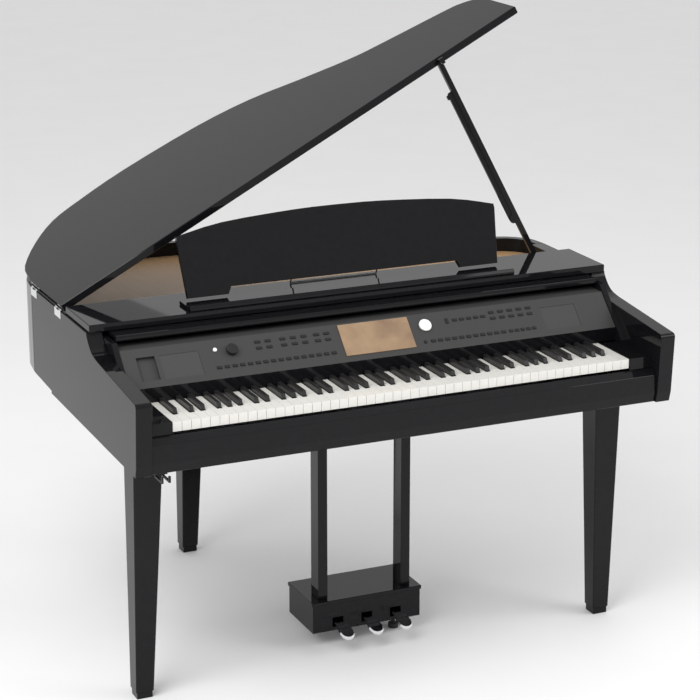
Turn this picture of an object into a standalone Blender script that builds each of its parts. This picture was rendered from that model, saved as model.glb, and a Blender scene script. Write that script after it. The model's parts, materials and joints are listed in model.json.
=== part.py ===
"""A small digital grand piano, in metres, +Z up, its lid open on the prop stick.

The case frame has x = 0 in the middle, y = 0 at the front of the arms and z = 0 on the floor.
Everything hangs on one empty, which moves that frame so that the origin is the middle of the
object's footprint. The player sits at -Y, and +X is the treble side.
"""

from math import asin, atan2, cos, degrees, pi, radians, sin, tan

import bmesh
import bpy
from mathutils import Matrix, Vector

# Clearance between pieces that touch
GAP = 0.0003

# Case
WIDTH = 1.430
DEPTH = 1.1415
SIDE_WALL = 0.040
RIM_WALL = 0.024
LEFT_SIDE_END = 0.815
RIGHT_SIDE_END = 0.690
BOARD_TOP = 0.925
BOARD_THICK = 0.020
BOARD_FRONT = 0.349
BOARD_REAR = 0.538
ARM_FRONT_TOP = 0.829
ARM_REAR_TOP = 0.8545
ARM_REAR = 0.276
NECK_BACK = 0.3565
CHAMFER_TOP = 0.6745
ARM_BOTTOM = 0.6465
SIDE_STEP = 0.670
SIDE_STEP_LOW = 0.6605
SIDE_STEP_HIGH = 0.668
RIM_BOTTOM = 0.676
FACE_RAKE = 0.009

# Boards inside the case
KEYBED_BOTTOM = 0.652
KEYBED_THICK = 0.020
REAR_FLOOR_BOTTOM = RIM_BOTTOM
REAR_FLOOR_THICK = 0.012
CROSS_WALL = 0.006
SOUNDBOARD_TOP = 0.868
SOUNDBOARD_THICK = 0.006
SPEAKER_X = 0.350
SPEAKER_Y = 0.430
SPEAKER_HOLE = 0.070

# Legs
LEG_OUTER = 0.667
LEG_REAR = 0.247
LEG_TOP_SIZE = 0.075
LEG_END_SIZE = 0.046
LEG_END = 0.0165
FOOT_SIZE = 0.040
REAR_LEG_LEFT = -0.229
REAR_LEG_BACK = 1.112

# Front rail and key blocks
RAIL_FRONT = 0.017
RAIL_BACK = 0.044
RAIL_FRONT_TOP = 0.719
RAIL_BACK_TOP = 0.7316
BLOCK_TOP = 0.7620
CHEEK_THICK = 0.0137
TRACK_TOP = 0.8917

# Keys
OCTAVE = 0.1645
WHITE_PITCH = OCTAVE / 7
KEY_SLIT = 0.0010
KEY_FRONT = 0.047
KEY_HEAD = 0.050
KEY_TOP = 0.7607
KEY_BOTTOM = 0.7367
KEY_PIVOT_Y = 0.268
KEY_END = 0.2745
SHARP_WIDTH = 0.0105
SHARP_FRONT = 0.101
SHARP_BACK = 0.1975
SHARP_TOP = 0.7730
SHARP_ARM_TOP = 0.7570
COMB_FIRST_Y = 0.2040
COMB_STEP_Y = 0.0052
COMB_BAR = 0.0032
COMB_BOTTOM = 0.7265
COMB_HEIGHT = 0.0040
COMB_TOOTH = 0.0080
COMB_SINK = 0.0033

# Control panel
PANEL_HALF = 0.660
PANEL_TOP_Y = 0.277
PANEL_TOP_Z = 0.8746
PANEL_TILT = radians(45.0)
PANEL_SLOPE = 0.1077
PANEL_THICK = 0.012
LEDGE_BACK = 0.335
LEDGE_THICK = 0.008
SCREEN_HALF = 0.095
SCREEN_TOP = 0.004
SCREEN_END = 0.0915
SCREEN_PROUD = 0.0020
GRILLE_IN = 0.4668
GRILLE_OUT = 0.5665
GRILLE_TOP = 0.025
GRILLE_END = 0.0896
GRILLE_THICK = 0.006
GRILLE_SUNK = 0.0008
USB_LEFT = -0.625
USB_RIGHT = -0.578
USB_TOP = 0.024
USB_END = 0.089
USB_DEEP = 0.010
KNOB_X = -0.384
KNOB_S = 0.036
KNOB_RADIUS = 0.014
KNOB_TALL = 0.013
DIAL_X = 0.137
DIAL_S = 0.0345
DIAL_RADIUS = 0.0166
DIAL_TALL = 0.006
SPINDLE = 0.003
POWER_X = -0.425
POWER_S = 0.029
POWER_RADIUS = 0.005
BUTTON_PROUD = 0.0022
BUTTON_SLACK = 0.0004
CARRIER_THICK = 0.002
CARRIER_ROOM = 0.0018
FALLBOARD_Y = 0.2015
FALLBOARD_THICK = 0.006
FALLBOARD_LOW = 0.7635

# Key cover
COVER_NOSE = 0.303
COVER_SHAFT_Y = 0.5255
COVER_SHAFT_Z = 0.8975
COVER_HALF = 0.658
COVER_THICK = 0.008
COVER_TOP = 0.904
NOSE_DEEP = 0.016
NOSE_LOW = 0.889
COVER_SHAFT_R = 0.0035
COVER_LUG_R = 0.0060
COVER_ROLLER_R = 0.0055

# Music rest
LEDGE_HALF = 0.447
LEDGE_FRONT = 0.360
LEDGE_REAR = 0.440
SHELF_TOP = 0.9335
LIP_TOP = 0.9385
LIP_DEEP = 0.012
REST_HALF_LOW = 0.430
REST_HALF_TOP = 0.441
REST_SIDE = 0.146
REST_APEX = 0.191
REST_CUT_HALF = 0.313
REST_CUT_TALL = 0.0185
REST_THICK = 0.012
REST_TILT = radians(17.4)
REST_PIVOT_Y = 0.4305
REST_PIVOT_Z = 0.9435
STAY_REACH = 0.098
STAY_UP = 0.075
STAY_OFF = 0.009
STAY_R = 0.002
STAY_HALF = 0.120

# Lid and prop stick
LID_OPEN = radians(27.92)
LID_THICK = 0.020
LID_INSET = 0.0055
LID_FRONT = 0.552
HINGE_X = -0.7122
HINGE_Z = 0.9076
HINGE_R = 0.0024
HINGE_PIN_R = 0.0011
HINGE_LONG = 0.050
HINGE_YS = (0.585, 0.790)
PROP_LEAN = radians(28.3)
PROP_X = 0.621
PROP_Z = 0.889
PROP_WIDE = 0.014
PROP_FRONT = 0.540
PROP_BACK = 0.5505
TIP_RISE = 0.008
HALF_WIDE = 0.012
HALF_THICK = 0.0065
HALF_LOW = 0.150
HALF_TOP = 0.560

# Lyre and pedals
BOX_HALF = 0.1525
BOX_FRONT = 0.299
BOX_REAR = 0.457
BOX_BOTTOM = 0.044
PLATE_TOP = 0.129
PLATE_THICK = 0.0105
PLATE_OVER = 0.003
BOX_WALL = 0.008
POST_IN = 0.104
POST_OUT = 0.130
POST_FRONT = 0.315
POST_DEEP = 0.048
PEDAL_PITCH = 0.082
PEDAL_PIVOT_Y = 0.430
PEDAL_PIVOT_Z = 0.0665
PEDAL_SHAFT_R = 0.004
ADJUSTER_X = 0.100
ADJUSTER_Y = 0.350

# Worked out once, used all over
HALF = WIDTH / 2
INNER = HALF - SIDE_WALL
RIM_TOP = BOARD_TOP - BOARD_THICK - GAP
BOARD_LOW = BOARD_TOP - BOARD_THICK
LID_LOW = BOARD_TOP - LID_THICK
KEYBED_TOP = KEYBED_BOTTOM + KEYBED_THICK
BOARD_HALF = HALF - LID_INSET

for old in list(bpy.data.objects):
    bpy.data.objects.remove(old, do_unlink=True)

frame_empty = bpy.data.objects.new("case_frame", None)
bpy.context.scene.collection.objects.link(frame_empty)
frame_empty.location = (0, -DEPTH / 2, 0)


def make_material(name, colour, roughness, metallic=0.0):
    """A plain Principled material; colour is linear RGB."""
    made = bpy.data.materials.new(name)
    made.use_nodes = True
    shader = made.node_tree.nodes["Principled BSDF"]
    shader.inputs["Base Color"].default_value = (*colour, 1.0)
    shader.inputs["Roughness"].default_value = roughness
    shader.inputs["Metallic"].default_value = metallic
    return made


POLISHED = make_material("polished_black", (0.006, 0.006, 0.007), 0.06)
SATIN = make_material("satin_black", (0.016, 0.016, 0.017), 0.35)
PANEL_GREY = make_material("panel_grey", (0.045, 0.046, 0.045), 0.45)
GRILLE_GREY = make_material("grille_grey", (0.035, 0.035, 0.034), 0.7)
IVORY = make_material("white_key", (0.80, 0.79, 0.75), 0.25)
EBONY = make_material("black_key", (0.012, 0.012, 0.012), 0.3)
SPRUCE = make_material("spruce", (0.62, 0.40, 0.22), 0.45)
CHROME = make_material("chrome", (0.82, 0.83, 0.84), 0.12, 1.0)
STEEL = make_material("steel", (0.55, 0.56, 0.57), 0.3, 1.0)
WHITE = make_material("white_plastic", (0.80, 0.80, 0.78), 0.35)
GLASS = make_material("screen_glass", (0.30, 0.19, 0.12), 0.12)
CIRCUIT = make_material("circuit_board", (0.02, 0.12, 0.05), 0.5)
RUBBER = make_material("rubber", (0.02, 0.02, 0.02), 0.8)


def add_mesh(name, points, faces, material=None, origin=(0, 0, 0), sharp=radians(32)):
    """An object in the case frame whose origin is a chosen point of that frame."""
    mesh = bpy.data.meshes.new(name)
    home = Vector(origin)
    mesh.from_pydata([Vector(p) - home for p in points], [], faces)
    shape = bmesh.new()
    shape.from_mesh(mesh)
    bmesh.ops.recalc_face_normals(shape, faces=shape.faces)
    shape.to_mesh(mesh)
    shape.free()
    mesh.shade_smooth()
    mesh.set_sharp_from_angle(angle=sharp)
    made = bpy.data.objects.new(name, mesh)
    bpy.context.scene.collection.objects.link(made)
    made.parent = frame_empty
    made.location = home
    if material:
        mesh.materials.append(material)
    return made


def placed(axis, along, u, v):
    """A point from its place along an axis and its two other coordinates, in X, Y, Z order."""
    if axis == "X":
        return (along, u, v)
    if axis == "Y":
        return (u, along, v)
    return (u, v, along)


def prism_parts(axis, outline, low, high, start=0):
    """Points and faces of an outline pushed from low to high along an axis."""
    count = len(outline)
    points = [placed(axis, end, u, v) for end in (low, high) for u, v in outline]
    faces = [tuple(start + i for i in range(count))]
    faces.append(tuple(start + count + i for i in reversed(range(count))))
    for i in range(count):
        j = (i + 1) % count
        faces.append((start + j, start + i, start + count + i, start + count + j))
    return points, faces


def prisms(name, shapes, material=None, origin=(0, 0, 0)):
    """One object made of prisms that don't touch: each shape is (axis, outline, low, high)."""
    points, faces = [], []
    for axis, outline, low, high in shapes:
        more_points, more_faces = prism_parts(axis, outline, low, high, len(points))
        points += more_points
        faces += more_faces
    return add_mesh(name, points, faces, material, origin)


def prism(name, axis, outline, low, high, material=None, origin=(0, 0, 0)):
    return prisms(name, [(axis, outline, low, high)], material, origin)


def rectangle(left, right, low, high):
    return [(left, low), (right, low), (right, high), (left, high)]


def block(name, xs, ys, zs, material=None, origin=(0, 0, 0)):
    return prism(name, "Z", rectangle(*xs, *ys), *zs, material, origin)


def arc(centre, radius, start, end, steps):
    """Points of an arc, with the angles in degrees and both ends included."""
    turns = [radians(start + (end - start) * i / steps) for i in range(steps + 1)]
    return [(centre[0] + radius * cos(t), centre[1] + radius * sin(t)) for t in turns]


def circle(centre, radius, sides=20):
    return arc(centre, radius, 0, 360 - 360 / sides, sides - 1)


def apply_cut(target, cutter, operation="DIFFERENCE", self_cross=False):
    """A Boolean that takes a helper object out of its target, or joins it on."""
    cutter.hide_render = True
    cutter.display_type = "WIRE"
    change = target.modifiers.new(cutter.name, "BOOLEAN")
    change.operation = operation
    change.solver = "EXACT"
    change.use_self = self_cross
    change.object = cutter
    return target


def add_bevel(target, width, segments=2, limit=35):
    change = target.modifiers.new("edge", "BEVEL")
    change.width = width
    change.segments = segments
    change.limit_method = "ANGLE"
    change.angle_limit = radians(limit)
    return target


def smooth_curve(points, steps):
    """A curve through its points, with a few steps between each two (Catmull-Rom)."""
    found = []
    last = len(points) - 1
    for i in range(last):
        before = points[max(i - 1, 0)]
        a, b = points[i], points[i + 1]
        after = points[min(i + 2, last)]
        for step in range(steps):
            t = step / steps
            found.append(
                tuple(
                    0.5
                    * (
                        2 * a[k]
                        + (b[k] - before[k]) * t
                        + (2 * before[k] - 5 * a[k] + 4 * b[k] - after[k]) * t * t
                        + (3 * a[k] - before[k] - 3 * b[k] + after[k]) * t**3
                    )
                    for k in (0, 1)
                )
            )
    return found + [points[last]]


def offset_inwards(points, distance):
    """An open outline moved to its left by a distance, which is inwards on this case."""
    moved = []
    last = len(points) - 1
    for i, (x, y) in enumerate(points):
        ahead = points[min(i + 1, last)]
        behind = points[max(i - 1, 0)]
        run = Vector((ahead[0] - behind[0], ahead[1] - behind[1])).normalized()
        moved.append((x - run.y * distance, y + run.x * distance))
    return moved


def case_curve():
    """The outer line of the case behind its straight sides, from the treble to the bass side."""
    tail = DEPTH
    points = [
        (HALF, RIGHT_SIDE_END),
        (HALF - 0.005, tail - 0.406),
        (HALF - 0.020, tail - 0.375),
        (HALF - 0.048, tail - 0.348),
        (HALF - 0.090, tail - 0.328),
        (HALF - 0.278, tail - 0.2705),
        (HALF - 0.3625, tail - 0.238),
        (HALF - 0.492, tail - 0.160),
        (HALF - 0.620, tail - 0.0775),
        (HALF - 0.778, tail - 0.0245),
        (HALF - 1.007, tail),
        (HALF - 1.160, tail - 0.011),
        (HALF - 1.257, tail - 0.035),
        (HALF - 1.340, tail - 0.1085),
        (HALF - 1.408, tail - 0.2105),
        (HALF - 1.426, tail - 0.2945),
        (-HALF, LEFT_SIDE_END),
    ]
    return smooth_curve(points, 3)


def straight_then_curve(front, inset):
    """The whole outline from a front line, round the tail and back, inset from the case's outside."""
    curve = offset_inwards(case_curve(), inset)
    curve[0] = (HALF - inset, RIGHT_SIDE_END)
    curve[-1] = (-HALF + inset, LEFT_SIDE_END)
    return [(HALF - inset, front), *curve, (-HALF + inset, front)]


# Case walls


def side_profile(rear):
    """The arm's outline seen from the side, from its lower front corner round to the rear."""
    slope = atan2(ARM_REAR_TOP - ARM_FRONT_TOP, ARM_REAR - 0.012)
    bottom_slope = (SIDE_STEP_LOW - ARM_BOTTOM) / (SIDE_STEP - FACE_RAKE)
    neck = [
        (ARM_REAR, ARM_REAR_TOP),
        (ARM_REAR + 0.032, ARM_REAR_TOP + 0.0055),
        (ARM_REAR + 0.054, ARM_REAR_TOP + 0.016),
        (ARM_REAR + 0.070, ARM_REAR_TOP + 0.031),
        (NECK_BACK, RIM_TOP - 0.005),
        (NECK_BACK, RIM_TOP),
    ]
    nose = arc((0.010, ARM_FRONT_TOP - 0.010), 0.010, 180, 90 + degrees(slope), 4)
    points = [(FACE_RAKE + 0.007, ARM_BOTTOM), (FACE_RAKE, CHAMFER_TOP), *nose]
    points += smooth_curve(neck, 2) + [(rear, RIM_TOP)]
    rear_low = SIDE_STEP_HIGH + (RIM_BOTTOM - SIDE_STEP_HIGH) * (rear - SIDE_STEP) / (
        LEFT_SIDE_END - SIDE_STEP
    )
    points += [(rear, rear_low), (SIDE_STEP, SIDE_STEP_HIGH), (SIDE_STEP, SIDE_STEP_LOW)]
    points += [(0.120, ARM_BOTTOM + bottom_slope * 0.120)]
    return points


def make_case():
    left = prism("left_side", "X", side_profile(LEFT_SIDE_END), -HALF, -INNER, POLISHED)
    right = prism("right_side", "X", side_profile(RIGHT_SIDE_END), INNER, HALF, POLISHED)
    for wall in (left, right):
        add_bevel(wall, 0.002, 1, 50)
    outer = case_curve()
    inner = offset_inwards(outer, RIM_WALL)
    inner[0] = (HALF - RIM_WALL, RIGHT_SIDE_END)
    inner[-1] = (-HALF + RIM_WALL, LEFT_SIDE_END)
    outer[0] = (HALF, RIGHT_SIDE_END + GAP)
    outer[-1] = (-HALF, LEFT_SIDE_END + GAP)
    inner[0] = (inner[0][0], RIGHT_SIDE_END + GAP)
    inner[-1] = (inner[-1][0], LEFT_SIDE_END + GAP)
    rim = prism("curved_rim", "Z", outer + inner[::-1], RIM_BOTTOM, RIM_TOP, POLISHED)
    add_bevel(rim, 0.0015, 1, 50)


def inside_outline(front, rear_only=False):
    """What fits inside the walls: straight sides to the rear of each arm, then inside the rim."""
    clear = RIM_WALL + GAP
    curve = offset_inwards(case_curve(), clear)
    curve[0] = (HALF - clear, RIGHT_SIDE_END + 2 * GAP)
    curve[-1] = (-HALF + clear, LEFT_SIDE_END + 2 * GAP)
    side = INNER - GAP
    right = [(side, front), (side, RIGHT_SIDE_END + 2 * GAP)]
    left = [(-side, LEFT_SIDE_END + 2 * GAP), (-side, front)]
    return right + curve + left


def make_boards():
    """The floor with its step, the soundboard, the wall in front of it and the fixed top board."""
    floor = prism(
        "bottom_board", "Z", inside_outline(SIDE_STEP - 0.014),
        REAR_FLOOR_BOTTOM, REAR_FLOOR_BOTTOM + REAR_FLOOR_THICK, SATIN,
    )
    riser_back = SIDE_STEP - 0.002
    keybed = [
        (RAIL_BACK + GAP, KEYBED_BOTTOM),
        (riser_back, KEYBED_BOTTOM),
        (riser_back, REAR_FLOOR_BOTTOM + REAR_FLOOR_THICK / 2),
        (riser_back - KEYBED_THICK / 2, REAR_FLOOR_BOTTOM + REAR_FLOOR_THICK / 2),
        (riser_back - KEYBED_THICK / 2, KEYBED_TOP),
        (RAIL_BACK + GAP, KEYBED_TOP),
    ]
    bed = prism("keybed_slab", "X", keybed, -INNER + GAP, INNER - GAP)
    apply_cut(floor, bed, "UNION")
    holes = [
        ("Z", circle((side * SPEAKER_X, SPEAKER_Y), SPEAKER_HOLE, 24), 0.60, 0.80)
        for side in (-1, 1)
    ]
    apply_cut(floor, prisms("speaker_holes", holes))

    prism(
        "soundboard", "Z", inside_outline(BOARD_REAR + GAP),
        SOUNDBOARD_TOP - SOUNDBOARD_THICK, SOUNDBOARD_TOP, SPRUCE,
    )
    block(
        "cross_wall", (-INNER + GAP, INNER - GAP), (BOARD_REAR - CROSS_WALL, BOARD_REAR),
        (KEYBED_TOP + GAP, RIM_TOP), SATIN,
    )
    top = block(
        "top_board", (-BOARD_HALF, BOARD_HALF), (BOARD_FRONT, BOARD_REAR),
        (BOARD_LOW, BOARD_TOP), POLISHED,
    )
    add_bevel(top, 0.002, 1)


def make_front():
    """The rail under the key fronts, and the block at each end of the keys with its cheek."""
    profile = [
        (RAIL_FRONT + 0.006, ARM_BOTTOM + 0.001),
        (RAIL_BACK, ARM_BOTTOM + 0.001),
        (RAIL_BACK, RAIL_BACK_TOP),
        (RAIL_BACK - 0.003, RAIL_BACK_TOP),
        (RAIL_FRONT + 0.001, RAIL_FRONT_TOP),
        (RAIL_FRONT, CHAMFER_TOP - 0.002),
    ]
    rail = prism("front_rail", "X", profile, -INNER + GAP, INNER - GAP, POLISHED)
    add_bevel(rail, 0.0008, 1)
    key_side = 26 * WHITE_PITCH + 0.0012
    cheek_in = INNER - GAP - CHEEK_THICK
    panel_line = PANEL_TOP_Z - PANEL_TOP_Y + 0.004
    for side, name in ((-1, "left_key_block"), (1, "right_key_block")):
        xs = sorted((side * key_side, side * (INNER - GAP)))
        low = block(name, xs, (RAIL_BACK + GAP, 0.196), (KEYBED_TOP + GAP, BLOCK_TOP), POLISHED)
        cheek = [
            (0.150, KEYBED_TOP + 0.002),
            (BOARD_REAR - CROSS_WALL - GAP, KEYBED_TOP + 0.002),
            (BOARD_REAR - CROSS_WALL - GAP, TRACK_TOP),
            (TRACK_TOP - panel_line, TRACK_TOP),
            (0.186, 0.186 + panel_line),
            (0.172, BLOCK_TOP + 0.008),
            (0.150, BLOCK_TOP + 0.002),
        ]
        xs = sorted((side * cheek_in, side * (INNER - GAP - 0.0001)))
        apply_cut(low, prism(name + "_cheek", "X", cheek, *xs), "UNION")


# Keys


def white_x(index):
    """The left edge of a white key, counted from the lowest A."""
    return (index - 26) * WHITE_PITCH


NOTE_NAMES = ("a", "a_sharp", "b", "c", "c_sharp", "d", "d_sharp", "e", "f", "f_sharp", "g", "g_sharp")


def key_layout():
    """Every key as (note, kind, left, right, tail left, tail right), from the lowest A up."""
    found = []
    white = 0
    # slots across C-E and F-B, in fifths and sevenths of those stretches
    low_slot, high_slot = 3 * WHITE_PITCH / 5, 4 * WHITE_PITCH / 7
    place = {"c": 0, "c_sharp": 1, "d": 2, "d_sharp": 3, "e": 4}
    upper = {"f": 0, "f_sharp": 1, "g": 2, "g_sharp": 3, "a": 4, "a_sharp": 5, "b": 6}
    for number in range(88):
        note = NOTE_NAMES[number % 12]
        octave_start = white_x(2) + ((number + 9) // 12 - 1) * OCTAVE
        if note in place:
            left = octave_start + place[note] * low_slot
            slot = (left, left + low_slot)
        else:
            left = octave_start + 3 * WHITE_PITCH + upper[note] * high_slot
            slot = (left, left + high_slot)
        if note.endswith("sharp"):
            middle = sum(slot) / 2
            found.append((note, "sharp", middle - SHARP_WIDTH / 2, middle + SHARP_WIDTH / 2, *slot))
            continue
        left, right = white_x(white), white_x(white + 1)
        tail = (max(slot[0], left), min(slot[1], right))
        if number == 0:
            tail = (left, tail[1])
        if number == 87:
            tail = (left, right)
        found.append((note, "white", left, right, *tail))
        white += 1
    return found


def white_outline(left, right, tail_left, tail_right):
    """A natural seen from above: its head, then the tail between the sharps."""
    slit = KEY_SLIT / 2
    shoulder = KEY_FRONT + KEY_HEAD
    points = [(left + slit, KEY_FRONT), (right - slit, KEY_FRONT)]
    if tail_right < right - 0.001:
        points += [(right - slit, shoulder), (tail_right - slit, shoulder)]
    points += [(tail_right - slit, KEY_END), (tail_left + slit, KEY_END)]
    if tail_left > left + 0.001:
        points += [(tail_left + slit, shoulder), (left + slit, shoulder)]
    return points


SHARP_PROFILE = [
    (SHARP_FRONT, KEY_BOTTOM),
    (KEY_END, KEY_BOTTOM),
    (KEY_END, SHARP_ARM_TOP),
    (SHARP_BACK, SHARP_ARM_TOP),
    (SHARP_BACK, SHARP_TOP),
    (SHARP_FRONT + 0.0060, SHARP_TOP),
    (SHARP_FRONT + 0.0012, KEY_TOP + 0.002),
]


def make_keys():
    """One node for each note name: its keys, joined under their tails by a bar of their own."""
    layout = key_layout()
    order = sorted(set(NOTE_NAMES))
    for place, note in enumerate(order):
        keys = [key for key in layout if key[0] == note]
        shapes = []
        for _, kind, left, right, tail_left, tail_right in keys:
            if kind == "white":
                outline = white_outline(left, right, tail_left, tail_right)
                shapes.append(("Z", outline, KEY_BOTTOM, KEY_TOP))
            else:
                shapes.append(("X", SHARP_PROFILE, left, right))
        middles = [(key[4] + key[5]) / 2 for key in keys]
        comb_low = COMB_BOTTOM
        comb_high = COMB_BOTTOM + COMB_HEIGHT
        half = COMB_TOOTH / 2
        comb = [(middles[0] - half, comb_low), (middles[-1] + half, comb_low)]
        for middle in reversed(middles):
            comb.append((middle + half, KEY_BOTTOM + COMB_SINK))
            comb.append((middle - half, KEY_BOTTOM + COMB_SINK))
            if middle != middles[0]:
                comb.append((middle - half, comb_high))
                following = middles[middles.index(middle) - 1]
                comb.append((following + half, comb_high))
        y = COMB_FIRST_Y + COMB_STEP_Y * place
        material = EBONY if note.endswith("sharp") else IVORY
        pivot = (0, KEY_PIVOT_Y, KEY_BOTTOM)
        bar = prism(
            "keys_" + note, "Y", comb, y - COMB_BAR / 2, y + COMB_BAR / 2, material, pivot
        )
        apply_cut(bar, prisms("set_of_" + note, shapes), "UNION")


def make_key_frame():
    """The tray that the keys stand on, with the bar that they pivot on."""
    floor = KEYBED_TOP + GAP
    plate = 0.004
    reach = 26 * WHITE_PITCH - 0.001
    front, rear = 0.056, 0.2840
    pivot = KEY_PIVOT_Y
    profile = [
        (front, floor),
        (rear, floor),
        (rear, 0.7600),
        (rear - 0.006, 0.7600),
        (rear - 0.006, floor + plate),
        (pivot + 0.002, floor + plate),
        (pivot + 0.0010, KEY_BOTTOM - GAP),
        (pivot - 0.0010, KEY_BOTTOM - GAP),
        (pivot - 0.002, floor + plate),
        (front + 0.008, floor + plate),
        (front + 0.008, KEY_BOTTOM - 0.0112),
        (front, KEY_BOTTOM - 0.0112),
    ]
    prism("key_frame", "X", profile, -reach, reach, STEEL)


# Control panel


def on_panel(x, down, up=0.0):
    """A point of the panel: x, distance down its slope from the top edge, height off its face."""
    return Vector(
        (
            x,
            PANEL_TOP_Y - down * cos(PANEL_TILT) - up * sin(PANEL_TILT),
            PANEL_TOP_Z - down * sin(PANEL_TILT) + up * cos(PANEL_TILT),
        )
    )


def panel_shapes(name, outlines, low, high, material=None, origin=(0, 0, 0)):
    """Prisms that stand on the panel's face: outlines in (x, down), heights off the face."""
    points, faces = [], []
    for outline in outlines:
        count, start = len(outline), len(points)
        points += [on_panel(x, down, low) for x, down in outline]
        points += [on_panel(x, down, high) for x, down in outline]
        faces.append(tuple(start + i for i in range(count)))
        faces.append(tuple(start + count + i for i in reversed(range(count))))
        for i in range(count):
            j = (i + 1) % count
            faces.append((start + j, start + i, start + count + i, start + count + j))
    return add_mesh(name, points, faces, material, origin)


def centred(x, down, wide, tall, more=0.0):
    half_x, half_y = wide / 2 + more, tall / 2 + more
    return rectangle(x - half_x, x + half_x, down - half_y, down + half_y)


def spread(first, last, count):
    return [first + (last - first) * i / (count - 1) for i in range(count)]


def left_buttons():
    """Places and sizes of the buttons left of the screen: (x, down, wide, tall)."""
    found = [(x, 0.0775, 0.0120, 0.0070) for x in spread(-0.426, -0.125, 16)]
    columns = spread(-0.312, -0.285, 2) + spread(-0.246, -0.190, 3) + spread(-0.156, -0.129, 2)
    found += [(x, down, 0.0140, 0.0065) for x in columns for down in (0.0215, 0.0385)]
    return found


def right_buttons():
    found = [(0.124, 0.0800, 0.0070, 0.0070)]
    found += [(x, 0.0800, 0.0120, 0.0070) for x in spread(0.146, 0.344, 11)]
    found += [(x, 0.0800, 0.0100, 0.0070) for x in spread(0.366, 0.432, 5)]
    found += [(0.200, 0.0290, 0.0070, 0.0140)]
    found += [(x, 0.0290, 0.0120, 0.0065) for x in spread(0.222, 0.302, 5)]
    found += [
        (x, down, 0.0140, 0.0065) for x in spread(0.328, 0.434, 5) for down in (0.0205, 0.0375)
    ]
    return found


def make_panel():
    """The sloping panel with its ledge, cut out for all that stands in it."""
    foot = PANEL_TOP_Y - PANEL_SLOPE * cos(PANEL_TILT), PANEL_TOP_Z - PANEL_SLOPE * sin(PANEL_TILT)
    under = PANEL_THICK / sin(PANEL_TILT)
    ledge_low = PANEL_TOP_Z - LEDGE_THICK
    knee = PANEL_TOP_Y + under - LEDGE_THICK / tan(PANEL_TILT)
    profile = [
        foot,
        (foot[0] + under, foot[1]),
        (knee, ledge_low),
        (LEDGE_BACK, ledge_low),
        (LEDGE_BACK, PANEL_TOP_Z),
        (PANEL_TOP_Y, PANEL_TOP_Z),
    ]
    panel = prism("control_panel", "X", profile, -PANEL_HALF, PANEL_HALF, PANEL_GREY)
    slack = GAP
    holes = [
        rectangle(-SCREEN_HALF - slack, SCREEN_HALF + slack, SCREEN_TOP - slack, SCREEN_END + slack)
    ]
    for side in (-1, 1):
        xs = sorted((side * (GRILLE_IN - slack), side * (GRILLE_OUT + slack)))
        holes.append(rectangle(*xs, GRILLE_TOP - slack, GRILLE_END + slack))
    holes += [centred(*button, BUTTON_SLACK) for button in left_buttons() + right_buttons()]
    holes.append(circle((KNOB_X, KNOB_S), SPINDLE + GAP, 12))
    holes.append(circle((DIAL_X, DIAL_S), SPINDLE + GAP, 12))
    holes.append(circle((POWER_X, POWER_S), POWER_RADIUS + BUTTON_SLACK, 12))
    apply_cut(panel, panel_shapes("panel_holes", holes, -0.03, 0.02))
    recess = [rectangle(USB_LEFT, USB_RIGHT, USB_TOP, USB_END)]
    apply_cut(panel, panel_shapes("usb_recess", recess, -USB_DEEP, 0.02))

    screen = [rectangle(-SCREEN_HALF, SCREEN_HALF, SCREEN_TOP, SCREEN_END)]
    panel_shapes("touch_screen", screen, -PANEL_THICK, SCREEN_PROUD, GLASS)
    for side, name in ((-1, "left_grille"), (1, "right_grille")):
        xs = sorted((side * GRILLE_IN, side * GRILLE_OUT))
        outline = [rectangle(*xs, GRILLE_TOP, GRILLE_END)]
        panel_shapes(name, outline, -GRILLE_THICK - GRILLE_SUNK, -GRILLE_SUNK, GRILLE_GREY)


def make_controls():
    """Buttons on their carriers, the power button, the volume knob and the data dial."""
    back = -PANEL_THICK - CARRIER_ROOM
    for name, buttons in (("buttons_left", left_buttons()), ("buttons_right", right_buttons())):
        xs = [x for x, _, wide, _ in buttons]
        downs = [down for _, down, _, _ in buttons]
        plate = [rectangle(min(xs) - 0.008, max(xs) + 0.009, min(downs) - 0.006, max(downs) + 0.006)]
        home = on_panel(sum(xs) / len(xs), 0.05)
        carrier = panel_shapes(name, plate, back - CARRIER_THICK, back, SATIN, home)
        tops = [centred(*button) for button in buttons]
        caps = panel_shapes(name + "_caps", tops, back - CARRIER_THICK / 2, BUTTON_PROUD)
        apply_cut(carrier, caps, "UNION")
    panel_shapes(
        "power_button", [circle((POWER_X, POWER_S), POWER_RADIUS, 16)],
        -PANEL_THICK + 0.001, 0.0035, WHITE, on_panel(POWER_X, POWER_S),
    )
    for name, x, down, radius, tall, colour in (
        ("volume_knob", KNOB_X, KNOB_S, KNOB_RADIUS, KNOB_TALL, SATIN),
        ("data_dial", DIAL_X, DIAL_S, DIAL_RADIUS, DIAL_TALL, WHITE),
    ):
        home = on_panel(x, down)
        cap = panel_shapes(name, [circle((x, down), radius, 28)], 0.0006, tall, colour, home)
        add_bevel(cap, 0.0012, 1)
        stem = panel_shapes(
            name + "_stem", [circle((x, down), SPINDLE, 12)], -PANEL_THICK + 0.002, tall / 2
        )
        apply_cut(cap, stem, "UNION")


def make_fallboard():
    """The polished strip behind the keys, under the panel."""
    reach = INNER - 2 * GAP - CHEEK_THICK
    top = PANEL_TOP_Z - PANEL_SLOPE * sin(PANEL_TILT) - GAP
    back = FALLBOARD_Y + FALLBOARD_THICK
    block("fallboard_strip", (-reach, reach), (FALLBOARD_Y, back), (FALLBOARD_LOW, top), POLISHED)


# Key cover


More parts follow.
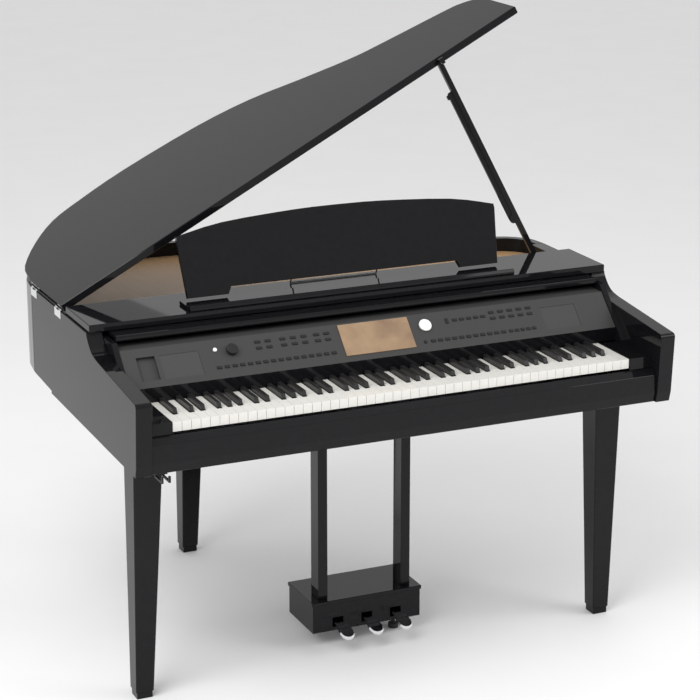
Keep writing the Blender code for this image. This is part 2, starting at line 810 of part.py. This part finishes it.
def make_cover():
    """The cover stored under the top board, hung at its rear on a shaft that rolls on the cheeks."""
    slab_low = COVER_TOP - COVER_THICK
    rear = COVER_SHAFT_Y - COVER_LUG_R - 0.001
    nose = arc((COVER_NOSE + 0.005, COVER_TOP - 0.005), 0.005, 90, 180, 3)
    foot = arc((COVER_NOSE + 0.004, NOSE_LOW + 0.004), 0.004, 180, 270, 2)
    profile = [(rear, slab_low), (rear, COVER_TOP), *nose, *foot]
    profile += [(COVER_NOSE + NOSE_DEEP, NOSE_LOW), (COVER_NOSE + NOSE_DEEP, slab_low)]
    pivot = (0, COVER_SHAFT_Y, COVER_SHAFT_Z)
    cover = prism("key_cover", "X", profile, -COVER_HALF, COVER_HALF, POLISHED, pivot)
    ring = circle((COVER_SHAFT_Y, COVER_SHAFT_Z), COVER_LUG_R, 16)
    arm = rectangle(rear - 0.004, COVER_SHAFT_Y, slab_low + 0.001, COVER_SHAFT_Z + 0.004)
    lugs, arms = [], []
    for side in (-1, 1):
        for inner in (0.18, 0.62):
            xs = sorted((side * inner, side * (inner + 0.014)))
            lugs.append(("X", ring, *xs))
            arms.append(("X", arm, xs[0] + 0.001, xs[1] - 0.001))
    apply_cut(cover, prisms("cover_arms", arms), "UNION")
    apply_cut(cover, prisms("cover_lugs", lugs), "UNION")
    bore = circle((COVER_SHAFT_Y, COVER_SHAFT_Z), COVER_SHAFT_R + GAP, 12)
    apply_cut(cover, prism("cover_bore", "X", bore, -HALF, HALF))

    reach = INNER - 0.001
    rod = circle((COVER_SHAFT_Y, COVER_SHAFT_Z), COVER_SHAFT_R, 12)
    shaft = prism("cover_shaft", "X", rod, -reach + 0.002, reach - 0.002, STEEL, pivot)
    tyre = circle((COVER_SHAFT_Y, COVER_SHAFT_Z), COVER_ROLLER_R, 18)
    rollers = [("X", tyre, *sorted((s * (reach - 0.008), s * reach))) for s in (-1, 1)]
    apply_cut(shaft, prisms("cover_rollers", rollers), "UNION")


# Music rest


def make_music_rest():
    """The ledge on the top board, the arched rest on it and the wire stay behind the rest."""
    profile = [
        (LEDGE_FRONT, BOARD_TOP + GAP),
        (LEDGE_REAR, BOARD_TOP + GAP),
        (LEDGE_REAR, SHELF_TOP),
        (LEDGE_FRONT + LIP_DEEP, SHELF_TOP),
        (LEDGE_FRONT + LIP_DEEP - 0.002, LIP_TOP),
        (LEDGE_FRONT + 0.004, LIP_TOP),
        (LEDGE_FRONT, SHELF_TOP - 0.002),
    ]
    ledge = prism("music_ledge", "X", profile, -LEDGE_HALF, LEDGE_HALF, POLISHED)
    add_bevel(ledge, 0.001, 1)

    low = -0.0040
    crown = smooth_curve(
        [
            (REST_HALF_TOP, REST_SIDE - 0.006),
            (REST_HALF_TOP - 0.002, REST_SIDE + 0.003),
            (REST_HALF_TOP - 0.010, REST_SIDE + 0.007),
            (0.317, REST_APEX - 0.0155),
            (0.122, REST_APEX - 0.0020),
            (0.0, REST_APEX),
        ],
        3,
    )
    right = [
        (REST_CUT_HALF, REST_CUT_TALL + low),
        (REST_CUT_HALF + 0.009, low),
        (REST_HALF_LOW, low),
        *crown,
    ]
    outline = right + [(-x, up) for x, up in reversed(right[:-1])]
    half = REST_THICK / 2
    points, faces = prism_parts("Y", outline, -half, half)
    lean = Matrix.Rotation(-REST_TILT, 3, "X")
    pivot = Vector((0, REST_PIVOT_Y, REST_PIVOT_Z))
    points = [lean @ Vector(p) + pivot for p in points]
    rest = add_mesh("music_rest", points, faces, POLISHED, pivot)
    add_bevel(rest, 0.0015, 1)

    pin = pivot + lean @ Vector((0, STAY_OFF, STAY_UP))
    foot_z = BOARD_TOP + GAP + STAY_R
    drop = pin.z - foot_z
    back = (STAY_REACH**2 - drop**2) ** 0.5
    rod = STAY_R
    path = [
        (-STAY_HALF - 0.012, pin.y, pin.z),
        (-STAY_HALF, pin.y, pin.z),
        (-STAY_HALF, pin.y + back, foot_z),
        (STAY_HALF, pin.y + back, foot_z),
        (STAY_HALF, pin.y, pin.z),
        (STAY_HALF + 0.012, pin.y, pin.z),
    ]
    wire_object("rest_stay", path, rod, STEEL, pin)
    ears = []
    for side in (-1, 1):
        xs = sorted((side * (STAY_HALF + 0.003), side * (STAY_HALF + 0.007)))
        ears.append(("X", rectangle(half - 0.001, STAY_OFF + 0.005, STAY_UP - 0.005, STAY_UP + 0.005), *xs))
    ear_points, ear_faces = [], []
    for axis, shape, near, far in ears:
        more_points, more_faces = prism_parts(axis, shape, near, far, len(ear_points))
        ear_points += [lean @ Vector(p) + pivot for p in more_points]
        ear_faces += more_faces
    apply_cut(rest, add_mesh("rest_ears", ear_points, ear_faces), "UNION")
    hole = circle((pin.y, pin.z), STAY_R + GAP, 12)
    apply_cut(rest, prism("stay_bore", "X", hole, -STAY_HALF - 0.02, STAY_HALF + 0.02))


def wire_object(name, path, radius, material, origin):
    """A bent wire as a mesh tube of ten sides with mitred corners and flat ends."""
    sides = 10
    points, faces = [], []
    nodes = [Vector(p) for p in path]
    for i, node in enumerate(nodes):
        ahead = (nodes[min(i + 1, len(nodes) - 1)] - node).normalized()
        behind = (node - nodes[max(i - 1, 0)]).normalized()
        if i == 0:
            behind = ahead
        if i == len(nodes) - 1:
            ahead = behind
        cut = (ahead + behind).normalized()
        if i == 0:
            side = Vector((0, 0, 1)) if abs(ahead.z) < 0.9 else Vector((1, 0, 0))
            side = (side - ahead * side.dot(ahead)).normalized()
        else:
            turn = before.rotation_difference(ahead)
            side = turn @ old_side
        across = ahead.cross(side)
        for k in range(sides):
            angle = 2 * pi * k / sides
            ray = side * cos(angle) + across * sin(angle)
            # slide each point along the run ahead until it lies in the mitre plane
            slip = -ray.dot(cut) / ahead.dot(cut)
            points.append(node + (ray + ahead * slip) * radius)
        before, old_side = ahead, side
    for i in range(len(nodes) - 1):
        for k in range(sides):
            j = (k + 1) % sides
            faces.append((i * sides + k, i * sides + j, (i + 1) * sides + j, (i + 1) * sides + k))
    faces.append(tuple(reversed(range(sides))))
    faces.append(tuple(range((len(nodes) - 1) * sides, len(nodes) * sides)))
    return add_mesh(name, points, faces, material, origin)


# Lid and prop stick


def opened(point):
    """Where a point of the closed lid stands when the lid is up."""
    turn = Matrix.Rotation(-LID_OPEN, 3, "Y")
    home = Vector((HINGE_X, 0, HINGE_Z))
    return turn @ (Vector(point) - home) + home


def prop_point(along, across):
    """A point in the stick's plane: distance from its foot, and distance to its bass side."""
    return (
        PROP_X - along * sin(PROP_LEAN) - across * cos(PROP_LEAN),
        PROP_Z + along * cos(PROP_LEAN) - across * sin(PROP_LEAN),
    )


def prop_length():
    """How long the stick is, so that its tip ends a little above the open lid's lower face."""
    # the lower face's line through the hinge: height = (x - HINGE_X) * tan(open) + shift
    shift = (LID_LOW - HINGE_Z) / cos(LID_OPEN)
    run = PROP_X - HINGE_X
    touch = (run * tan(LID_OPEN) + HINGE_Z + shift - PROP_Z) / (
        cos(PROP_LEAN) + sin(PROP_LEAN) * tan(LID_OPEN)
    )
    return touch + TIP_RISE


def make_lid():
    """The lid, made closed, then turned up about its hinges, with the catch for the prop stick."""
    outline = straight_then_curve(LID_FRONT, LID_INSET)
    outline[0] = (BOARD_HALF, LID_FRONT)
    left = HINGE_X + HINGE_R + GAP + 0.0002
    outline = [(max(x, left), y) for x, y in outline]
    home = (HINGE_X, 0, HINGE_Z)
    points, faces = prism_parts("Z", outline, LID_LOW, BOARD_TOP)
    lid = add_mesh("lid", [opened(p) for p in points], faces, POLISHED, home)
    add_bevel(lid, 0.002, 1, 50)

    # the catch leans over the stick's slanted tip, in front of the lid's front face
    slant = radians(50)
    length = prop_length()
    half = PROP_WIDE / 2
    near = prop_point(length + 0.0004, half - 0.006)
    far = prop_point(length - TIP_RISE + 0.0004, half - 0.006 - TIP_RISE / tan(slant))
    roof = prop_point(length + 0.009, half - 0.006)
    side = prop_point(length + 0.009, -half - 0.006)
    low_side = prop_point(length - TIP_RISE + 0.0004, -half - 0.006)
    catch = prism(
        "prop_catch", "Y", [near, far, low_side, side, roof], PROP_FRONT - 0.0008, LID_FRONT + 0.006
    )
    apply_cut(lid, catch, "UNION")


def make_hinges():
    """Each lid hinge: a leaf on the outside of the bass wall with two knuckles and a pin."""
    leaf_out, leaf_in = -HALF - 0.0017, -HALF - GAP
    for name, y in zip(("lid_hinge_front", "lid_hinge_rear"), HINGE_YS):
        low, high = y - HINGE_LONG / 2, y + HINGE_LONG / 2
        leaf = [
            (leaf_out, RIM_TOP - 0.018),
            (leaf_in, RIM_TOP - 0.018),
            (leaf_in, RIM_TOP + GAP),
            (HINGE_X, RIM_TOP + GAP),
            (HINGE_X, HINGE_Z),
            (leaf_out, HINGE_Z),
        ]
        hinge = prism(name, "Y", leaf, low, high, CHROME)
        add_cut = prism(name + "_gap", "Y", rectangle(-HALF - 0.01, HINGE_X + 0.01, RIM_TOP + 0.0002, HINGE_Z + 0.01), y - 0.009, y + 0.009)
        apply_cut(hinge, add_cut)
        round_shape = circle((HINGE_X, HINGE_Z), HINGE_R, 14)
        ends = [("Y", round_shape, low + 0.0005, y - 0.0095), ("Y", round_shape, y + 0.0095, high - 0.0005)]
        apply_cut(hinge, prisms(name + "_knuckles", ends), "UNION")
        pin = circle((HINGE_X, HINGE_Z), HINGE_PIN_R, 8)
        apply_cut(hinge, prism(name + "_pin", "Y", pin, low + 0.002, high - 0.002), "UNION")


def make_prop():
    """The prop stick on its bracket, with the half stick that lies along its bass side."""
    length = prop_length()
    half = PROP_WIDE / 2
    slant = radians(50)
    foot = [prop_point(-half * cos(radians(a)), half * sin(radians(a))) for a in range(-90, 91, 30)]
    tip = [
        prop_point(length, half),
        prop_point(length, half - 0.006),
        prop_point(length - (PROP_WIDE - 0.006) * tan(slant), -half),
    ]
    outline = foot + tip
    home = (PROP_X, (PROP_FRONT + PROP_BACK) / 2, PROP_Z)
    stick = prism("prop_stick", "Y", outline, PROP_FRONT, PROP_BACK, POLISHED, home)
    side = half + GAP + HALF_WIDE / 2
    thin = (PROP_BACK - PROP_FRONT - HALF_THICK) / 2 - GAP
    ear = [
        prop_point(HALF_LOW - 0.010, 0),
        prop_point(HALF_LOW + 0.026, 0),
        prop_point(HALF_LOW + 0.018, side + 0.004),
        prop_point(HALF_LOW - 0.002, side + 0.004),
    ]
    inset = 0.0002
    ears = [("Y", ear, PROP_FRONT + inset, PROP_FRONT + thin), ("Y", ear, PROP_BACK - thin, PROP_BACK - inset)]
    apply_cut(stick, prisms("half_prop_ears", ears), "UNION")
    pivot = prop_point(HALF_LOW + 0.008, side)
    pin = circle(pivot, 0.0020, 10)
    apply_cut(stick, prism("half_prop_pin", "Y", pin, PROP_FRONT + thin / 2, PROP_BACK - thin / 2), "UNION")
    bore = circle((PROP_X, PROP_Z), 0.0025 + GAP, 12)
    apply_cut(stick, prism("prop_bore", "Y", bore, PROP_FRONT - 0.01, PROP_BACK + 0.01))

    low, high = HALF_LOW, HALF_TOP
    wide = HALF_WIDE / 2
    turn = [
        prop_point(low + 0.008 - wide * cos(radians(a)), side + wide * sin(radians(a)))
        for a in range(-90, 91, 30)
    ]
    shape = turn + [prop_point(high - 0.004, side + wide), prop_point(high, side + wide - 0.004)]
    shape += [prop_point(high, side - wide)]
    middle = (PROP_FRONT + PROP_BACK) / 2
    home = (pivot[0], middle, pivot[1])
    half_stick = prism(
        "half_prop", "Y", shape, middle - HALF_THICK / 2, middle + HALF_THICK / 2, POLISHED, home
    )
    knob_at = high - 0.010
    knob = [
        prop_point(knob_at - 0.006, side),
        prop_point(knob_at + 0.006, side),
        prop_point(knob_at + 0.005, side + wide + 0.005),
        prop_point(knob_at - 0.005, side + wide + 0.005),
    ]
    knob = prism("half_prop_knob", "Y", knob, middle - 0.003, middle + 0.003)
    apply_cut(half_stick, knob, "UNION")
    hole = circle(pivot, 0.0020 + GAP, 12)
    apply_cut(half_stick, prism("half_prop_bore", "Y", hole, PROP_FRONT, PROP_BACK))

    # clevis on the soundboard
    wall = 0.0012
    front, back = PROP_FRONT - GAP, PROP_BACK + GAP
    ear = [
        (PROP_X - 0.012, SOUNDBOARD_TOP + GAP),
        (PROP_X + 0.012, SOUNDBOARD_TOP + GAP),
        (PROP_X + 0.008, PROP_Z + 0.004),
        (PROP_X - 0.008, PROP_Z + 0.004),
    ]
    clevis = prism("prop_bracket", "Y", ear, back, back + 0.003, STEEL)
    front_ear = prism("bracket_front", "Y", ear, front - wall, front)
    base = block(
        "bracket_base", (PROP_X - 0.0115, PROP_X + 0.0115), (front - wall / 2, back + 0.002),
        (SOUNDBOARD_TOP + GAP + 0.0001, SOUNDBOARD_TOP + 0.0034),
    )
    pin = circle((PROP_X, PROP_Z), 0.0025, 12)
    apply_cut(clevis, base, "UNION")
    apply_cut(clevis, front_ear, "UNION")
    pin = prism("prop_pin", "Y", pin, front - wall / 2, back + 0.0015)
    apply_cut(clevis, pin, "UNION")


# Legs, lyre and pedals


def tapered(name, top_box, top_z, low_box, low_z, material):
    """A leg between two rectangles (left, right, front, back), with its foot under it."""
    rings = []
    for (left, right, front, back), z in ((low_box, low_z), (top_box, top_z)):
        rings += [(left, front, z), (right, front, z), (right, back, z), (left, back, z)]
    faces = [(3, 2, 1, 0), (4, 5, 6, 7), (0, 1, 5, 4), (1, 2, 6, 5), (2, 3, 7, 6), (3, 0, 4, 7)]
    leg = add_mesh(name, rings, faces, material)
    add_bevel(leg, 0.002, 1)
    middle_x = (low_box[0] + low_box[1]) / 2
    middle_y = (low_box[2] + low_box[3]) / 2
    half = FOOT_SIZE / 2
    foot = block(
        name + "_foot", (middle_x - half, middle_x + half), (middle_y - half, middle_y + half),
        (0, low_z + 0.010),
    )
    apply_cut(leg, foot, "UNION")
    return leg


def make_legs():
    for side, name in ((-1, "leg_front_left"), (1, "leg_front_right")):
        def across(size):
            return sorted((side * LEG_OUTER, side * (LEG_OUTER - size)))

        top = (*across(LEG_TOP_SIZE), LEG_REAR - LEG_TOP_SIZE, LEG_REAR)
        low = (*across(LEG_END_SIZE), LEG_REAR - LEG_END_SIZE, LEG_REAR)
        tapered(name, top, KEYBED_BOTTOM - GAP, low, LEG_END, POLISHED)
    left, back = REAR_LEG_LEFT, REAR_LEG_BACK
    top = (left, left + LEG_TOP_SIZE, back - LEG_TOP_SIZE, back)
    low = (left, left + LEG_END_SIZE, back - LEG_END_SIZE, back)
    tapered("leg_rear", top, REAR_FLOOR_BOTTOM - GAP, low, LEG_END, POLISHED)


def make_pedal_box():
    """The box with slots for the pedals, its overhanging top, and the two posts up to the keybed."""
    top = PLATE_TOP - PLATE_THICK
    box = block(
        "pedal_box", (-BOX_HALF, BOX_HALF), (BOX_FRONT, BOX_REAR), (BOX_BOTTOM, top - GAP), POLISHED
    )
    wall = BOX_WALL
    inside = block(
        "box_inside", (-BOX_HALF + wall, BOX_HALF - wall), (BOX_FRONT + wall, BOX_REAR - wall),
        (BOX_BOTTOM + wall, top + 0.02),
    )
    apply_cut(box, inside)
    slots = [
        ("Y", rectangle(x - 0.0155, x + 0.0155, 0.0535, 0.0800), BOX_FRONT - 0.01, BOX_FRONT + 2 * wall)
        for x in pedal_places()
    ]
    apply_cut(box, prisms("pedal_slots", slots))
    hole = circle((ADJUSTER_X, ADJUSTER_Y), 0.0055, 12)
    apply_cut(box, prism("adjuster_hole", "Z", hole, 0.03, 0.06))
    rod = circle((PEDAL_PIVOT_Y, PEDAL_PIVOT_Z), PEDAL_SHAFT_R, 12)
    reach = BOX_HALF - wall / 2
    apply_cut(box, prism("pedal_shaft", "X", rod, -reach, reach), "UNION")
    over = PLATE_OVER
    plate = block(
        "pedal_box_top", (-BOX_HALF - over, BOX_HALF + over), (BOX_FRONT - over, BOX_REAR + over),
        (top, PLATE_TOP), POLISHED,
    )
    add_bevel(plate, 0.001, 1)
    for side, name in ((-1, "lyre_post_left"), (1, "lyre_post_right")):
        xs = sorted((side * POST_IN, side * POST_OUT))
        post = block(
            name, xs, (POST_FRONT, POST_FRONT + POST_DEEP), (PLATE_TOP + GAP, KEYBED_BOTTOM - GAP), POLISHED
        )
        add_bevel(post, 0.001, 1)


def pedal_places():
    return (-PEDAL_PITCH, 0.0, PEDAL_PITCH)


# Stations of a pedal: y, half width, height of the middle of its plate
PEDAL_SHAPE = [
    (PEDAL_PIVOT_Y + 0.012, 0.011, PEDAL_PIVOT_Z),
    (0.320, 0.011, PEDAL_PIVOT_Z),
    (0.292, 0.0125, 0.0663),
    (0.278, 0.0135, 0.0655),
    (0.266, 0.0165, 0.0640),
    (0.254, 0.0190, 0.0615),
    (0.242, 0.0200, 0.0580),
    (0.232, 0.0180, 0.0545),
    (0.226, 0.0135, 0.0520),
    (0.223, 0.0070, 0.0505),
]


def make_pedals():
    """Three plates that hang on one shaft, wider and turned down towards their tips."""
    thick = 0.0045
    names = ("pedal_left", "pedal_middle", "pedal_right")
    for name, x in zip(names, pedal_places()):
        points, faces = [], []
        for y, half, z in PEDAL_SHAPE:
            edge = half - 0.0025
            points += [
                (x - half, y, z), (x - edge, y, z - thick), (x + edge, y, z - thick),
                (x + half, y, z), (x + edge, y, z + thick), (x - edge, y, z + thick),
            ]
        count = len(PEDAL_SHAPE)
        for i in range(count - 1):
            for k in range(6):
                j = (k + 1) % 6
                faces.append((i * 6 + k, i * 6 + j, i * 6 + 6 + j, i * 6 + 6 + k))
        faces.append(tuple(range(6)))
        faces.append(tuple(range((count - 1) * 6, count * 6)))
        pivot = (x, PEDAL_PIVOT_Y, PEDAL_PIVOT_Z)
        pedal = add_mesh(name, points, faces, CHROME, pivot)
        hub = circle((PEDAL_PIVOT_Y, PEDAL_PIVOT_Z), 0.0085, 14)
        apply_cut(pedal, prism(name + "_hub", "X", hub, x - 0.0095, x + 0.0095), "UNION")
        bore = circle((PEDAL_PIVOT_Y, PEDAL_PIVOT_Z), PEDAL_SHAFT_R + GAP, 12)
        apply_cut(pedal, prism(name + "_bore", "X", bore, x - 0.05, x + 0.05))

    home = (ADJUSTER_X, ADJUSTER_Y, 0)
    spot = (ADJUSTER_X, ADJUSTER_Y)
    disc = prism("pedal_adjuster", "Z", circle(spot, 0.014, 20), 0.0, 0.012, RUBBER, home)
    stem = prism("adjuster_stem", "Z", circle(spot, 0.005, 12), 0.006, 0.060)
    apply_cut(disc, stem, "UNION")


# Sockets, speakers and electronics


def make_inner_parts():
    """Two speakers over their holes, the circuit board, the mains inlet and the headphone hook."""
    floor = KEYBED_TOP + GAP
    for side, name in ((-1, "woofer_left"), (1, "woofer_right")):
        x = side * SPEAKER_X
        rings = ((0.088, 0.0), (0.088, 0.006), (0.066, 0.008), (0.040, 0.042), (0.040, 0.062))
        sides = 20
        points, faces = [], []
        for radius, up in rings:
            points += [(px, py, floor + up) for px, py in circle((x, SPEAKER_Y), radius, sides)]
        for i in range(len(rings) - 1):
            for k in range(sides):
                j = (k + 1) % sides
                faces.append((i * sides + k, i * sides + j, (i + 1) * sides + j, (i + 1) * sides + k))
        faces.append(tuple(range(sides)))
        faces.append(tuple(range((len(rings) - 1) * sides, len(rings) * sides)))
        add_mesh(name, points, faces, SATIN)
    block("main_board", (-0.15, 0.15), (0.35, 0.51), (floor, floor + 0.0030), CIRCUIT)

    low = REAR_FLOOR_BOTTOM - GAP
    inlet = block("power_inlet", (-0.325, -0.275), (0.700, 0.740), (low - 0.030, low), SATIN)
    socket = block("inlet_socket", (-0.3130, -0.2870), (0.722, 0.760), (low - 0.024, low - 0.007))
    apply_cut(inlet, socket)

    under = KEYBED_BOTTOM - GAP
    x = -0.640
    plate = block("headphone_hanger", (x - 0.016, x + 0.016), (0.052, 0.120), (under - 0.018, under), SATIN)
    hook = [
        (0.060, under - 0.012), (0.060, under - 0.0225), (0.022, under - 0.0225),
        (0.022, under - 0.012), (0.017, under - 0.012), (0.017, under - 0.0275), (0.066, under - 0.0275),
        (0.066, under - 0.012),
    ]
    prongs = [("X", hook, x + shift - 0.0025, x + shift + 0.0025) for shift in (-0.009, 0.009)]
    apply_cut(plate, prisms("hook_prongs", prongs), "UNION")


make_case()
make_boards()
make_front()
make_keys()
make_key_frame()
make_panel()
make_controls()
make_fallboard()
make_cover()
make_music_rest()
make_lid()
make_hinges()
make_prop()
make_legs()
make_pedal_box()
make_pedals()
make_inner_parts()

print("lid opens by", round(degrees(LID_OPEN), 2), "degrees; prop stick is", round(prop_length(), 4), "m")
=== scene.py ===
# %% [markdown]
# A small digital grand piano. The imported model is loaded as a fixed frame, and each of its
# pieces gets a finish made from nodes.

# %% The frame
import json
from math import pi

import bpy
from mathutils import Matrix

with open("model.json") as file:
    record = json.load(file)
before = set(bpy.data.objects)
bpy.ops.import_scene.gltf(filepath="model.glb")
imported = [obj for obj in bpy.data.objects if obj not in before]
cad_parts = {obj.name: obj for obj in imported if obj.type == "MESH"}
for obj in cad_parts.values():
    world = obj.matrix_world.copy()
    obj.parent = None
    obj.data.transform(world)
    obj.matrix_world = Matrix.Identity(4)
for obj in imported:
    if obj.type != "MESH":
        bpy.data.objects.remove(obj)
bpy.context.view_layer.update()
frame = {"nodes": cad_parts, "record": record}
bpy.ops.object.select_all(action="DESELECT")
print("nodes:", len(frame["nodes"]))

# %% [markdown]
# Every finish here starts from one recipe: a noise on Object coordinates shifts the colour a
# little between two tones, and drives a faint bump. Polish has a fine, shallow noise and little
# roughness, spruce has one stretched along its grain, and plastic has a tight grain.

# %% One recipe for all finishes


def make_finish(name, dark, light, roughness, grain, depth, metallic=0.0, coat=0.0, stretch=(1, 1, 1), gloss=0.5):
    """A Principled material whose colour and bump come from a noise; grain is per metre."""
    made = bpy.data.materials.new(name)
    made.use_nodes = True
    nodes, links = made.node_tree.nodes, made.node_tree.links
    shader = nodes["Principled BSDF"]
    place = nodes.new("ShaderNodeTexCoord")
    mapping = nodes.new("ShaderNodeMapping")
    mapping.inputs["Scale"].default_value = stretch
    noise = nodes.new("ShaderNodeTexNoise")
    noise.inputs["Scale"].default_value = grain
    noise.inputs["Detail"].default_value = 4.0
    tones = nodes.new("ShaderNodeValToRGB")
    tones.color_ramp.elements[0].color = (*dark, 1)
    tones.color_ramp.elements[1].color = (*light, 1)
    bump = nodes.new("ShaderNodeBump")
    bump.inputs["Distance"].default_value = depth
    bump.inputs["Strength"].default_value = 0.4
    links.new(place.outputs["Object"], mapping.inputs["Vector"])
    links.new(mapping.outputs["Vector"], noise.inputs["Vector"])
    links.new(noise.outputs["Fac"], tones.inputs["Fac"])
    links.new(noise.outputs["Fac"], bump.inputs["Height"])
    links.new(tones.outputs["Color"], shader.inputs["Base Color"])
    links.new(bump.outputs["Normal"], shader.inputs["Normal"])
    shader.inputs["Roughness"].default_value = roughness
    shader.inputs["Metallic"].default_value = metallic
    shader.inputs["Coat Weight"].default_value = coat
    shader.inputs["Specular IOR Level"].default_value = gloss
    return made


finishes = {
    "polished_black": make_finish("polish", (0.004, 0.004, 0.005), (0.008, 0.008, 0.009), 0.05, 60, 0.00002, gloss=0.2),
    "satin_black": make_finish("satin", (0.012, 0.012, 0.013), (0.022, 0.022, 0.023), 0.42, 900, 0.0001, gloss=0.25),
    "panel_grey": make_finish("panel", (0.035, 0.035, 0.035), (0.055, 0.055, 0.054), 0.48, 1200, 0.0001, gloss=0.25),
    "grille_grey": make_finish("mesh_cloth", (0.015, 0.015, 0.015), (0.07, 0.07, 0.068), 0.75, 700, 0.0006),
    "white_key": make_finish("ivory", (0.74, 0.72, 0.67), (0.82, 0.81, 0.77), 0.25, 40, 0.00002, coat=0.3),
    "black_key": make_finish("ebony", (0.008, 0.008, 0.008), (0.018, 0.018, 0.018), 0.3, 300, 0.00005),
    "spruce": make_finish("spruce", (0.42, 0.24, 0.11), (0.62, 0.40, 0.21), 0.4, 9, 0.0002, stretch=(30, 1, 1)),
    "chrome": make_finish("chrome", (0.78, 0.79, 0.80), (0.86, 0.87, 0.88), 0.1, 30, 0.00002, metallic=1.0),
    "steel": make_finish("steel", (0.45, 0.46, 0.47), (0.6, 0.61, 0.62), 0.32, 400, 0.00005, metallic=1.0),
    "white_plastic": make_finish("white_caps", (0.76, 0.76, 0.74), (0.84, 0.84, 0.82), 0.35, 500, 0.00005),
    "screen_glass": make_finish("screen", (0.10, 0.05, 0.025), (0.45, 0.30, 0.17), 0.12, 14, 0.0, coat=0.8),
    "circuit_board": make_finish("circuit", (0.01, 0.08, 0.03), (0.03, 0.16, 0.06), 0.5, 120, 0.0001),
    "rubber": make_finish("rubber", (0.015, 0.015, 0.015), (0.03, 0.03, 0.03), 0.8, 500, 0.0002),
}

# %% [markdown]
# The record names a slot for every node, and the slot names the finish, so one loop dresses
# the whole piano.

# %% Dressing the nodes
for part in frame["record"]["subparts"]:
    mesh = frame["nodes"][part["node"]].data
    mesh.materials.clear()
    mesh.materials.append(finishes[part["material_slot"]])
print("dressed with", len(finishes), "finishes")

# %% [markdown]
# The piano stands on a pale floor under soft lamps, one large and high on the bass side and a
# weaker one from the treble side. The camera stands where the photographer did.

# %% Floor, light and camera
FLOOR_SIZE = 30.0
bpy.ops.mesh.primitive_plane_add(size=FLOOR_SIZE, location=(0, 0, -0.0005))
floor = bpy.context.object
floor.name = "studio_floor"
floor.data.materials.append(
    make_finish("floor_paper", (0.86, 0.86, 0.86), (0.90, 0.90, 0.90), 0.7, 3, 0.0)
)

world = bpy.data.worlds.new("studio")
bpy.context.scene.world = world
world.use_nodes = True
world.node_tree.nodes["Background"].inputs["Color"].default_value = (0.95, 0.95, 0.95, 1)
world.node_tree.nodes["Background"].inputs["Strength"].default_value = 0.8

LAMPS = (
    ("key_lamp", 160, 3.0, (-3.0, -2.0, 4.0), (0.62, 0.0, -0.9)),
    ("fill_lamp", 60, 2.5, (3.5, -2.5, 2.5), (0.95, 0.0, 0.9)),
)
for name, power, size, place, turn in LAMPS:
    lamp = bpy.data.lights.new(name, "AREA")
    lamp.energy = power
    lamp.size = size
    holder = bpy.data.objects.new(name, lamp)
    holder.location = place
    holder.rotation_euler = turn
    bpy.context.scene.collection.objects.link(holder)

CAMERA_PLACE = (-2.2827, -5.2652, 2.4434)
CAMERA_DOWN = 0.2924
CAMERA_RIGHT = 0.4208
camera = bpy.data.cameras.new("camera")
camera.sensor_width = 36.0
camera.lens = 117.4
watcher = bpy.data.objects.new("camera", camera)
watcher.location = CAMERA_PLACE
watcher.rotation_euler = (pi / 2 - CAMERA_DOWN, 0, -CAMERA_RIGHT)
bpy.context.scene.collection.objects.link(watcher)
bpy.context.scene.camera = watcher
bpy.context.scene.view_settings.view_transform = "Standard"
